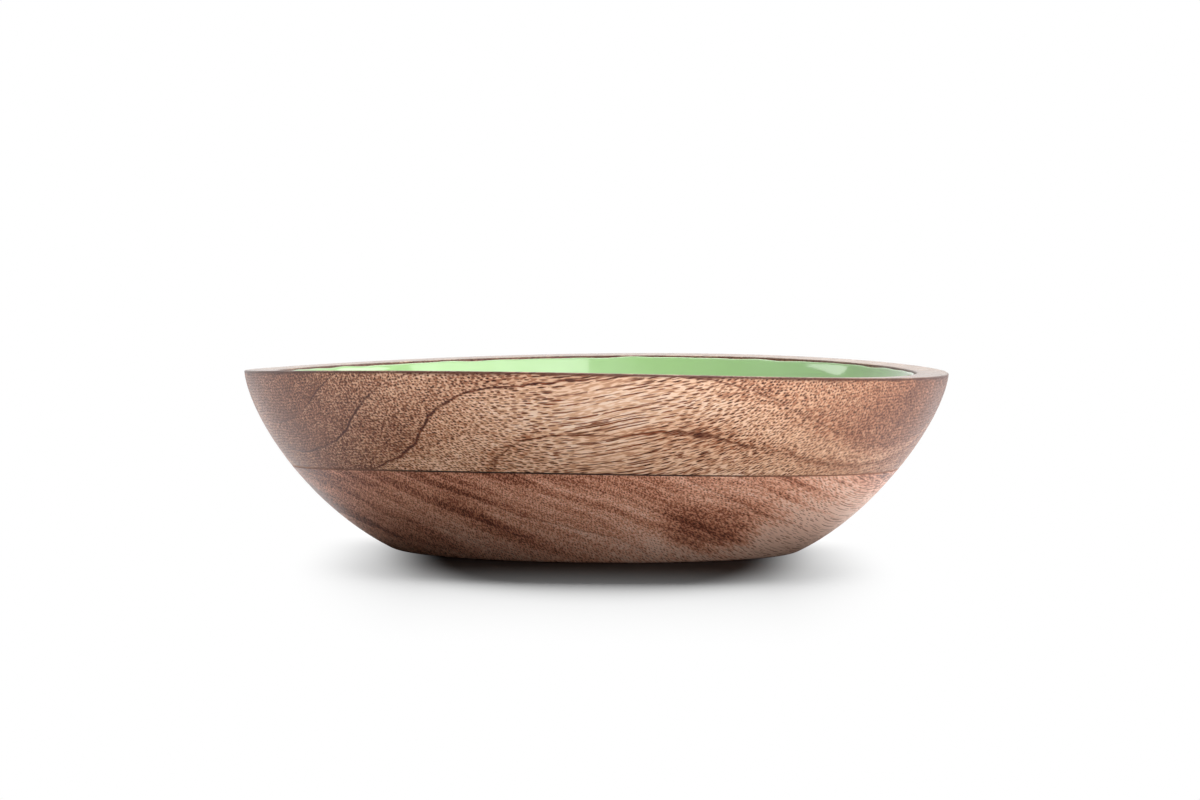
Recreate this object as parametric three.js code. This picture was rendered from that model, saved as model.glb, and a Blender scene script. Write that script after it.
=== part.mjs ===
// Turned serving bowl: two boards glued face to face, a glue film between them and an enamel lining.
// Millimetres, +Z up, origin at the centre of the standing face. The boards' end grain faces -X and +X.
import * as THREE from 'three';

// Outside of the turned form
const RIM_RADIUS = 125;
const RIM_HEIGHT = 63.5;
const RIM_OUTER_ROUND = 0.5;
const RIM_WALL_ANGLE = 83.5;
const RIM_WALL_REACH = 16;
const FOOT_RADIUS = 69.5;
const FOOT_ROUND = 8.5;
const HEEL_ANGLE = 26.5;
const HEEL_REACH = 31;

// Underside: a flat standing ring round a shallow hollow
const STANDING_RING_WIDTH = 15;
const FOOT_HOLLOW_DEPTH = 1.2;

// Inside of the turned form
const RIM_WIDTH = 11.5;
const RIM_INNER_ROUND = 0.6;
const INNER_WALL_ANGLE = 80;
const INNER_WALL_REACH = 16;
const FLOOR_THICKNESS = 12;
const FLOOR_RADIUS = 45;
const FLOOR_REACH = 42;

// Joint between the boards
const JOINT_HEIGHT = 30;
const GLUE_THICKNESS = 0.4;

// Enamel lining: its edge runs below the top of the rim and feathers out there
const ENAMEL_THICKNESS = 0.7;
const ENAMEL_EDGE_DROP = 0.8;
const ENAMEL_FEATHER = 0.8;

// Clearance between bonded pieces
const BOND_CLEARANCE = 0.05;

// The boards have warped: they cup across the grain, so the rim stands higher at -Y and +Y than at -X and +X,
// they wind, so two opposite quarters of the rim stand higher than the other two, and they tilt up towards +X
const CUPPING_LIFT = 3;
const WINDING_LIFT = 1.95;
const TILT_LIFT = 0.8;

// Fineness of the facets
const FACETS_ROUND = 72;
const WALL_STEPS = 8;
const ROUND_STEPS = 4;

// Point of a left-turning arc where the outline heads in the given direction, in degrees from outwards
function arcPoint(centre, radius, heading) {
  const angle = THREE.MathUtils.degToRad(heading);
  return new THREE.Vector2(centre.x + radius * Math.sin(angle), centre.y - radius * Math.cos(angle));
}

// Left-turning arc between two headings
function arc(centre, radius, fromHeading, toHeading) {
  const points = [];
  for (let step = 0; step <= ROUND_STEPS; step += 1) {
    const heading = THREE.MathUtils.lerp(fromHeading, toHeading, step / ROUND_STEPS);
    points.push(arcPoint(centre, radius, heading));
  }
  return points;
}

// Smooth wall that leaves one point at one heading and reaches another point at another heading
function wallCurve(start, startHeading, startReach, end, endHeading, endReach) {
  const startAngle = THREE.MathUtils.degToRad(startHeading);
  const endAngle = THREE.MathUtils.degToRad(endHeading);
  const startHandle = new THREE.Vector2(Math.cos(startAngle), Math.sin(startAngle)).multiplyScalar(startReach);
  const endHandle = new THREE.Vector2(Math.cos(endAngle), Math.sin(endAngle)).multiplyScalar(-endReach);
  return new THREE.CubicBezierCurve(start, startHandle.add(start), endHandle.add(end), end);
}

// Curve parameter at which a rising wall reaches a height
function parameterAtHeight(curve, height) {
  let low = 0;
  let high = 1;
  for (let halving = 0; halving < 40; halving += 1) {
    const middle = (low + high) / 2;
    if (curve.getPoint(middle).y < height) {
      low = middle;
    } else {
      high = middle;
    }
  }
  return (low + high) / 2;
}

// Points of a wall between two parameters, set off towards the inside of the bowl
function wallPoints(curve, from, to, offset = 0) {
  const points = [];
  for (let step = 0; step <= WALL_STEPS; step += 1) {
    const parameter = THREE.MathUtils.lerp(from, to, step / WALL_STEPS);
    const tangent = curve.getTangent(parameter);
    const inwards = new THREE.Vector2(-tangent.y, tangent.x);
    points.push(curve.getPoint(parameter).addScaledVector(inwards, offset));
  }
  return points;
}

// Rounds of the foot and of the two rim edges
const footCentre = new THREE.Vector2(FOOT_RADIUS, FOOT_ROUND);
const footRound = arc(footCentre, FOOT_ROUND, 0, HEEL_ANGLE);
const rimOuterCentre = new THREE.Vector2(RIM_RADIUS - RIM_OUTER_ROUND, RIM_HEIGHT - RIM_OUTER_ROUND);
const rimOuterRound = arc(rimOuterCentre, RIM_OUTER_ROUND, RIM_WALL_ANGLE, 180);
const rimInnerCentre = new THREE.Vector2(RIM_RADIUS - RIM_WIDTH + RIM_INNER_ROUND, RIM_HEIGHT - RIM_INNER_ROUND);
const rimInnerRound = arc(rimInnerCentre, RIM_INNER_ROUND, 180, 180 + INNER_WALL_ANGLE);

// Outer and inner wall of the turned form, through both boards
const outerWall = wallCurve(
  footRound.at(-1), HEEL_ANGLE, HEEL_REACH,
  rimOuterRound.at(0), RIM_WALL_ANGLE, RIM_WALL_REACH,
);
const floorEdge = new THREE.Vector2(FLOOR_RADIUS, FLOOR_THICKNESS);
const innerWall = wallCurve(
  floorEdge, 0, FLOOR_REACH,
  rimInnerRound.at(-1), INNER_WALL_ANGLE, INNER_WALL_REACH,
);

// Faces of the joint
const glueBottom = JOINT_HEIGHT - GLUE_THICKNESS / 2;
const glueTop = JOINT_HEIGHT + GLUE_THICKNESS / 2;
const baseBoardTop = glueBottom - BOND_CLEARANCE;
const rimBoardBottom = glueTop + BOND_CLEARANCE;

// Lift of a point of the warped boards: none at the standing face, all of it from the joint upwards
function warpLift(x, y, z) {
  const share = THREE.MathUtils.smoothstep(z, 0, JOINT_HEIGHT);
  const along = x / RIM_RADIUS;
  const across = y / RIM_RADIUS;
  return share * (CUPPING_LIFT * across ** 2 + WINDING_LIFT * along * across + TILT_LIFT * along);
}

// Solid of revolution about +Z, then warped as the boards are
function turnedSolid(name, outline, material) {
  const geometry = new THREE.LatheGeometry(outline, FACETS_ROUND);
  geometry.rotateX(Math.PI / 2);
  const position = geometry.getAttribute('position');
  for (let index = 0; index < position.count; index += 1) {
    const z = position.getZ(index);
    position.setZ(index, z + warpLift(position.getX(index), position.getY(index), z));
  }
  geometry.computeVertexNormals();
  const mesh = new THREE.Mesh(geometry, material);
  mesh.name = name;
  return mesh;
}

// Outline of the shallow hollow under the foot, from the axis to the standing ring
function footHollow() {
  const ringInside = FOOT_RADIUS - STANDING_RING_WIDTH;
  const points = [];
  for (let step = 0; step <= ROUND_STEPS; step += 1) {
    const share = step / ROUND_STEPS;
    points.push(new THREE.Vector2(ringInside * share, FOOT_HOLLOW_DEPTH * (1 - share ** 2)));
  }
  return points;
}

// Lower board: foot, floor and the lower part of the wall
function baseBoard() {
  const outerEnd = parameterAtHeight(outerWall, baseBoardTop);
  const innerStart = parameterAtHeight(innerWall, baseBoardTop);
  const outline = [
    ...footHollow(),
    ...footRound,
    ...wallPoints(outerWall, 0, outerEnd).slice(1),
    ...wallPoints(innerWall, innerStart, 0),
    new THREE.Vector2(0, FLOOR_THICKNESS),
  ];
  const wood = new THREE.MeshStandardMaterial({ color: 0x7d5a47, roughness: 0.45, metalness: 0 });
  return turnedSolid('base_board', outline, wood);
}

// Upper board: a ring that carries the rim
function rimBoard() {
  const outerStart = parameterAtHeight(outerWall, rimBoardBottom);
  const innerEnd = parameterAtHeight(innerWall, rimBoardBottom);
  const outline = [
    ...wallPoints(outerWall, outerStart, 1),
    ...rimOuterRound.slice(1),
    ...rimInnerRound,
    ...wallPoints(innerWall, 1, innerEnd).slice(1),
  ];
  outline.push(outline[0].clone());
  const wood = new THREE.MeshStandardMaterial({ color: 0xb98f72, roughness: 0.45, metalness: 0 });
  return turnedSolid('rim_board', outline, wood);
}

// Glue film between the boards, flush with both faces of the wall
function glueFilm() {
  const outline = [
    outerWall.getPoint(parameterAtHeight(outerWall, glueBottom)),
    outerWall.getPoint(parameterAtHeight(outerWall, glueTop)),
    innerWall.getPoint(parameterAtHeight(innerWall, glueTop)),
    innerWall.getPoint(parameterAtHeight(innerWall, glueBottom)),
  ];
  outline.push(outline[0].clone());
  const glue = new THREE.MeshStandardMaterial({ color: 0x3b2417, roughness: 0.6, metalness: 0 });
  return turnedSolid('glue_film', outline, glue);
}

// Enamel coat over the floor and the inner wall, down from its feathered edge below the rim
function enamelLining() {
  const edgeHeight = RIM_HEIGHT - ENAMEL_EDGE_DROP;
  const joint = parameterAtHeight(innerWall, JOINT_HEIGHT);
  const edge = parameterAtHeight(innerWall, edgeHeight);
  const featherStart = parameterAtHeight(innerWall, edgeHeight - ENAMEL_FEATHER);
  const face = BOND_CLEARANCE + ENAMEL_THICKNESS;
  const outline = [
    new THREE.Vector2(0, FLOOR_THICKNESS + BOND_CLEARANCE),
    ...wallPoints(innerWall, 0, joint, BOND_CLEARANCE),
    ...wallPoints(innerWall, joint, edge, BOND_CLEARANCE).slice(1),
    ...wallPoints(innerWall, featherStart, joint, face),
    ...wallPoints(innerWall, joint, 0, face).slice(1),
    new THREE.Vector2(0, FLOOR_THICKNESS + face),
  ];
  const enamel = new THREE.MeshStandardMaterial({ color: 0x9fcf8c, roughness: 0.12, metalness: 0 });
  return turnedSolid('enamel_lining', outline, enamel);
}

const bowl = new THREE.Group();
bowl.add(baseBoard(), glueFilm(), rimBoard(), enamelLining());

export default bowl;
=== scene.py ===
"""Dresses the turned serving bowl: two boards glued face to face, a glue film and an enamel lining.

Every length is in metres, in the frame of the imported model: +Z up, the origin at the centre of the
standing face, the grain of the upper board along X and the front of the bowl towards -Y.
"""
import logging
import math
from dataclasses import dataclass, field
from enum import Enum

import bpy
import numpy as np
from mathutils import Matrix, Vector


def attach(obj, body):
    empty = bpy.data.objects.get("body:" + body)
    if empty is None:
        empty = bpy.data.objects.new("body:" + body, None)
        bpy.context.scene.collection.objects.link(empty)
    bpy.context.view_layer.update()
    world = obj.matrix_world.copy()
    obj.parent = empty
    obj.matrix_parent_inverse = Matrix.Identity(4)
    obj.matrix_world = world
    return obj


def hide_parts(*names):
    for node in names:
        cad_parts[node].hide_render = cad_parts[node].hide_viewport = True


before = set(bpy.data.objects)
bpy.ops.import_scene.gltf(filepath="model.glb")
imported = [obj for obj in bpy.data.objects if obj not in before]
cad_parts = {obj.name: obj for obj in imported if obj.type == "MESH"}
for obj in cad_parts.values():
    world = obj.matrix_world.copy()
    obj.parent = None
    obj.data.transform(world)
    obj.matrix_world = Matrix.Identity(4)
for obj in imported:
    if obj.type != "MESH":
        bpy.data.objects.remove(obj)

LOG = logging.getLogger("serving_bowl")
BODY = "root"
X_AXIS = (1.0, 0.0, 0.0)
WALL_SAMPLES = 4001

Socket = bpy.types.NodeSocket
Colour = tuple[float, float, float]
Point = tuple[float, float, float]
Span = tuple[float, float]
# The two ends of a range, and what each of them becomes
Ease = tuple[float, float, float, float]
Feed = Socket | float | tuple


def display_colour(colour: Colour) -> tuple[float, float, float, float]:
    """Turn a display colour into the linear colour that shaders take.

    Each share of full brightness is divided by 12.92 where it is low. Above that, it is moved by 0.055,
    divided by 1.055 and raised to the power 2.4.

    Args:
        colour: Red, green and blue as seen on a screen, from 0 to 255.

    Returns:
        The linear red, green and blue, with full opacity.
    """
    shares = np.asarray(colour) / 255.0
    low = shares / 12.92
    high = ((shares + 0.055) / 1.055) ** 2.4
    linear = np.where(shares <= 0.04045, low, high)
    return (float(linear[0]), float(linear[1]), float(linear[2]), 1.0)


def grey(level: float) -> tuple[float, float, float, float]:
    """Return the linear colour of a grey."""
    return (level, level, level, 1.0)


class Graph:
    """Short words for building one shader node tree."""

    def __init__(self, tree: bpy.types.NodeTree) -> None:
        """Empty the tree and keep it."""
        self.tree = tree
        tree.nodes.clear()

    def node(self, kind: str, inputs: dict | None = None, **settings: object) -> bpy.types.Node:
        """Add a node.

        Args:
            kind: Blender's name for the node.
            inputs: Values, or outputs to link, for its sockets by name or number.
            settings: Properties to set on it.

        Returns:
            The new node.
        """
        made = self.tree.nodes.new(kind)
        for name, value in settings.items():
            setattr(made, name, value)
        for socket, value in (inputs or {}).items():
            if isinstance(value, bpy.types.NodeSocket):
                self.tree.links.new(value, made.inputs[socket])
            else:
                made.inputs[socket].default_value = value
        return made

    def show(self, shader: bpy.types.Node, output: str = "ShaderNodeOutputMaterial") -> None:
        """Put a shader on the surface."""
        self.node(output, {"Surface": shader.outputs[0]})

    def object_point(self) -> Socket:
        """Return the surface point in the piece's own coordinates."""
        return self.node("ShaderNodeTexCoord").outputs["Object"]

    def attribute(self, name: str) -> Socket:
        """Return a number that the mesh stores for each point, or 0 where it stores none."""
        return self.node("ShaderNodeAttribute", attribute_name=name).outputs["Fac"]

    def seen_directly(self) -> Socket:
        """Tell rays that show a surface from rays that only gather light.

        Returns:
            1 for a ray from the camera, a gloss or a glass, and 0 for any other.
        """
        path = self.node("ShaderNodeLightPath").outputs
        either = self.math("MAXIMUM", path["Is Camera Ray"], path["Is Glossy Ray"])
        return self.math("MAXIMUM", either, path["Is Transmission Ray"])

    def math(self, operation: str, first: Feed, second: Feed = 0.0, clamp: bool = False) -> Socket:
        """Return what a named operation makes of one or two numbers, held from 0 to 1 if clamped."""
        made = self.node("ShaderNodeMath", {0: first, 1: second}, operation=operation, use_clamp=clamp)
        return made.outputs[0]

    def minus(self, first: Feed, second: Feed) -> Socket:
        """Take the second number from the first."""
        return self.math("SUBTRACT", first, second)

    def ratio(self, first: Feed, second: Feed, clamp: bool = False) -> Socket:
        """Divide the first number by the second, held from 0 to 1 if clamped."""
        return self.math("DIVIDE", first, second, clamp)

    def sum(self, *parts: Feed) -> Feed:
        """Add up numbers or outputs."""
        return self._chain("ADD", parts)

    def product(self, *parts: Feed) -> Feed:
        """Multiply numbers or outputs."""
        return self._chain("MULTIPLY", parts)

    def _chain(self, operation: str, parts: tuple[Feed, ...]) -> Feed:
        """Work through numbers or outputs from the first to the last.

        Args:
            operation: Name of the operation that joins two of them.
            parts: The numbers or outputs.

        Returns:
            The result.
        """
        total = parts[0]
        for part in parts[1:]:
            total = self.math(operation, total, part)
        return total

    def length(self, *parts: Feed) -> Socket:
        """Return the square root of the sum of the parts' squares."""
        return self.math("SQRT", self.sum(*(self.product(part, part) for part in parts)))

    def vector(self, operation: str, first: Feed, second: Feed = (0.0, 0.0, 0.0)) -> Socket:
        """Return the vector that a named operation makes of one or two vectors."""
        made = self.node("ShaderNodeVectorMath", {0: first, 1: second}, operation=operation)
        return made.outputs["Vector"]

    def measure(self, operation: str, first: Feed, second: Feed) -> Socket:
        """Return the number that a named operation makes of two vectors."""
        made = self.node("ShaderNodeVectorMath", {0: first, 1: second}, operation=operation)
        return made.outputs["Value"]

    def dot(self, vector: Feed, direction: Point) -> Socket:
        """Return how far a vector reaches along a direction."""
        return self.measure("DOT_PRODUCT", vector, direction)

    def turn(self, vector: Feed, turn: Point = (0.0, 0.0, 0.0), scale: Point = (1.0, 1.0, 1.0)) -> Socket:
        """Scale a vector along each axis and then turn it by Euler angles in radians."""
        inputs = {"Vector": vector, "Rotation": turn, "Scale": scale}
        return self.node("ShaderNodeMapping", inputs, vector_type="POINT").outputs["Vector"]

    def noise(
        self, vector: Feed, scale: float = 1.0, detail: float = 1.0, roughness: float = 0.5
    ) -> bpy.types.Node:
        """Add smooth noise with scale blobs to a unit, and so many finer layers of the given strength."""
        inputs = {"Vector": vector, "Scale": scale, "Detail": detail, "Roughness": roughness}
        return self.node("ShaderNodeTexNoise", inputs)

    def centred(self, noise: bpy.types.Node, size: float) -> Socket:
        """Return a noise node's number, moved to lie about 0 and scaled."""
        return self.product(self.minus(noise.outputs["Fac"], 0.5), size)

    def centred_vector(self, noise: bpy.types.Node, size: float) -> Socket:
        """Return a noise node's colour as a vector, moved to lie about 0 and scaled."""
        moved = self.vector("SUBTRACT", noise.outputs["Color"], (0.5, 0.5, 0.5))
        return self.vector("MULTIPLY", moved, (size, size, size))

    def cells_across(self, vector: Feed, straying: float) -> bpy.types.Node:
        """Scatter points over the second and third axis, one to each unit of the vector.

        Args:
            vector: Where to read.
            straying: How far the points leave an even grid, from 0 to 1.

        Returns:
            The node, with the distance to the nearest point and a colour drawn for each point.
        """
        parts = self.node("ShaderNodeSeparateXYZ", {0: vector}).outputs
        flat = self.node("ShaderNodeCombineXYZ", {0: parts[1], 1: parts[2]}).outputs[0]
        inputs = {"Vector": flat, "Scale": 1.0, "Randomness": straying}
        return self.node("ShaderNodeTexVoronoi", inputs, feature="F1", voronoi_dimensions="2D")

    def span(self, value: Feed, low: Feed, high: Feed, to_low: float = 0.0, to_high: float = 1.0) -> Socket:
        """Ease a number from one range into another, and hold the result at the ends."""
        inputs = {"Value": value, "From Min": low, "From Max": high, "To Min": to_low, "To Max": to_high}
        return self.node("ShaderNodeMapRange", inputs, interpolation_type="SMOOTHSTEP").outputs["Result"]

    def curve(self, value: Feed, points: list[Span]) -> Socket:
        """Read a number off straight stretches between points.

        Args:
            value: Place along the curve.
            points: Places in order, each with its result from 0 to 1.

        Returns:
            The result.
        """
        first, last = points[0][0], points[-1][0]
        share = self.ratio(self.minus(value, first), last - first)
        made = self.node("ShaderNodeFloatCurve", {"Value": share})
        knots = made.mapping.curves[0].points
        places = [((place - first) / (last - first), result) for place, result in points]
        knots[0].location = places[0]
        knots[1].location = places[-1]
        for place, result in places[1:-1]:
            knots.new(place, result)
        for knot in knots:
            knot.handle_type = "VECTOR"
        made.mapping.update()
        return made.outputs["Value"]

    def ramp(self, share: Feed, colours: tuple[Colour, ...]) -> Socket:
        """Read a colour off an even scale.

        Args:
            share: Place on the scale, from 0 to 1.
            colours: Display colours from the scale's start to its end.

        Returns:
            The colour.
        """
        made = self.node("ShaderNodeValToRGB", {"Fac": share})
        elements = made.color_ramp.elements
        elements[0].color = display_colour(colours[0])
        elements[1].color = display_colour(colours[-1])
        for place, colour in enumerate(colours[1:-1], start=1):
            elements.new(place / (len(colours) - 1)).color = display_colour(colour)
        return made.outputs["Color"]

    def blend(self, share: Feed, under: Feed, over: Feed) -> Socket:
        """Lay a share of the second colour over the first."""
        return self.node("ShaderNodeMix", {0: share, 6: under, 7: over}, data_type="RGBA").outputs[2]

    def bump(self, height: Feed, depth: float) -> Socket:
        """Return the normal of a surface raised by a height times a depth."""
        inputs = {"Strength": 1.0, "Distance": depth, "Height": height}
        return self.node("ShaderNodeBump", inputs).outputs["Normal"]


def new_material(name: str) -> tuple[bpy.types.Material, Graph]:
    """Make an empty node material.

    Args:
        name: Its name.

    Returns:
        The material and the builder of its nodes.
    """
    material = bpy.data.materials.new(name)
    material.use_nodes = True
    return material, Graph(material.node_tree)


@dataclass(frozen=True)
class Patch:
    """A soft patch of the wood in which something is more or less.

    Centre and size are in the bowl's frame, and size is half the patch's extent along each axis. The patch
    drops by fall for each metre to the right, and core is the share of its size with the whole amount.
    """

    centre: Point
    size: Point
    amount: float
    fall: float = 0.0
    core: float = 0.1

    def share(self, graph: Graph, point: Socket) -> Socket:
        """Ease the change from the whole amount in the patch's core to none at the patch's size.

        Args:
            graph: Builder of the nodes.
            point: Point in the bowl's frame.

        Returns:
            The change at the point.
        """
        offset = graph.vector("SUBTRACT", point, self.centre)
        wide, deep, high = (1.0 / side for side in self.size)
        directions = ((wide, 0.0, 0.0), (0.0, deep, 0.0), (self.fall * high, 0.0, high))
        distance = graph.length(*(graph.dot(offset, direction) for direction in directions))
        return graph.span(distance, self.core, 1.0, self.amount, 0.0)


@dataclass(frozen=True)
class GrowthRings:
    """Growth rings of one board: bowed shells about a slanting pith.

    The ring radius of a point is its distance from the pith in the plane across X, plus skew times x, plus
    bow times the square of x. A growth line lies wherever the ring radius equals one of the edges.
    """

    pith: Span
    slant: Span
    skew: float
    bow: float
    edges: tuple[float, ...]
    strengths: tuple[float, ...]
    wander: float
    jag: float
    swellings: tuple[Patch, ...] = ()
    wander_scale: float = 24.0
    jag_scale: float = 150.0
    line_core: float = 0.2

    def radius(self, graph: Graph, point: Socket) -> Socket:
        """Work out the ring radius, with a slow wander, a quick jaggedness and the swellings.

        Args:
            graph: Builder of the nodes.
            point: Point in the bowl's frame.

        Returns:
            The ring radius in metres.
        """
        side = graph.minus(graph.dot(point, (-self.slant[0], 1.0, 0.0)), self.pith[0])
        rise = graph.minus(graph.dot(point, (-self.slant[1], 0.0, 1.0)), self.pith[1])
        along = graph.dot(point, X_AXIS)
        parts = [
            graph.length(side, rise),
            graph.product(along, along, self.bow),
            graph.product(along, self.skew),
            graph.centred(graph.noise(point, self.wander_scale), self.wander),
            graph.centred(graph.noise(point, self.jag_scale), self.jag),
        ]
        return graph.sum(*parts, *(patch.share(graph, point) for patch in self.swellings))

    def index(self, graph: Graph, radius: Socket) -> Socket:
        """Count the growth lines passed, running evenly from one line to the next.

        Args:
            graph: Builder of the nodes.
            radius: Ring radius.

        Returns:
            The number of lines, with fractions between them.
        """
        steps = len(self.edges) - 1
        places = [(edge, step / steps) for step, edge in enumerate(self.edges)]
        return graph.product(graph.curve(radius, places), steps)

    def lines(self, graph: Graph, index: Socket, width: float) -> Socket:
        """Draw each growth line as a thin line with its own strength.

        Args:
            graph: Builder of the nodes.
            index: Number of growth lines passed.
            width: Half the width of a line, as a share of a ring.

        Returns:
            The darkness of the nearest line, from 0 to 1.
        """
        strength = graph.curve(index, list(enumerate(self.strengths)))
        near = graph.math("PINGPONG", index, 0.5)
        return graph.product(graph.span(near, self.line_core * width, width, 1.0, 0.0), strength)


@dataclass(frozen=True)
class Pores:
    """Open vessels: wavering tubes along the fibres, cut to dots or dashes by the surface."""

    fibre: Point
    upright: Point
    spacing: Span
    length: float
    reach: Span
    strength: Span
    wander: float = 0.006
    wander_scale: float = 20.0
    waver: float = 0.0004
    waver_scale: Point = (90.0, 260.0, 260.0)
    straying: float = 0.6
    swelling_scale: float = 0.9
    swelling: Ease = (0.36, 0.48, 0.5, 1.0)
    raggedness: float = 0.1
    ragged_scale: float = 1.6
    core: float = 0.55

    def turn(self) -> Point:
        """Work out the Euler angles that bring the bowl's axes to the fibre frame.

        Returns:
            Angles in radians, for a Mapping node.
        """
        along = Vector(self.fibre).normalized()
        across = Vector(self.upright)
        across = (across - along * across.dot(along)).normalized()
        side = across.cross(along)
        return tuple(Matrix((along, side, across)).to_euler("XYZ"))

    def fibre_point(self, graph: Graph, point: Socket) -> Socket:
        """Bring a point to the fibre frame and move it by slow and quick noise, so that fibres wander.

        Args:
            graph: Builder of the nodes.
            point: Point in the bowl's frame.

        Returns:
            The point in the fibre frame.
        """
        turned = graph.turn(point, self.turn())
        slow = graph.centred_vector(graph.noise(turned, self.wander_scale), self.wander)
        stretched = graph.turn(turned, scale=self.waver_scale)
        quick = graph.centred_vector(graph.noise(stretched), self.waver)
        return graph.vector("ADD", graph.vector("ADD", turned, slow), quick)

    def cover(self, graph: Graph, fibre_point: Socket) -> Socket:
        """Find how far a point lies inside a vessel.

        Vessels are scattered one to a cell across the fibres. Each has its own width and darkness, and it
        swells and closes along its length.

        Args:
            graph: Builder of the nodes.
            fibre_point: Point in the fibre frame.

        Returns:
            The share of vessel, from 0 to 1.
        """
        sides = (1.0 / self.length, 1.0 / self.spacing[0], 1.0 / self.spacing[1])
        cell_point = graph.turn(fibre_point, scale=sides)
        cells = graph.cells_across(cell_point, self.straying).outputs
        drawn = graph.node("ShaderNodeSeparateColor", {0: cells["Color"]}).outputs
        swelling = graph.noise(cell_point, self.swelling_scale).outputs["Fac"]
        widest = graph.span(drawn[0], 0.0, 1.0, *self.reach)
        reach = graph.product(widest, graph.span(swelling, *self.swelling))
        ragged = graph.centred(graph.noise(cell_point, self.ragged_scale), self.raggedness)
        distance = graph.sum(cells["Distance"], ragged)
        inside = graph.span(distance, graph.product(reach, self.core), reach, 1.0, 0.0)
        return graph.product(inside, graph.span(drawn[1], 0.0, 1.0, *self.strength))


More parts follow.
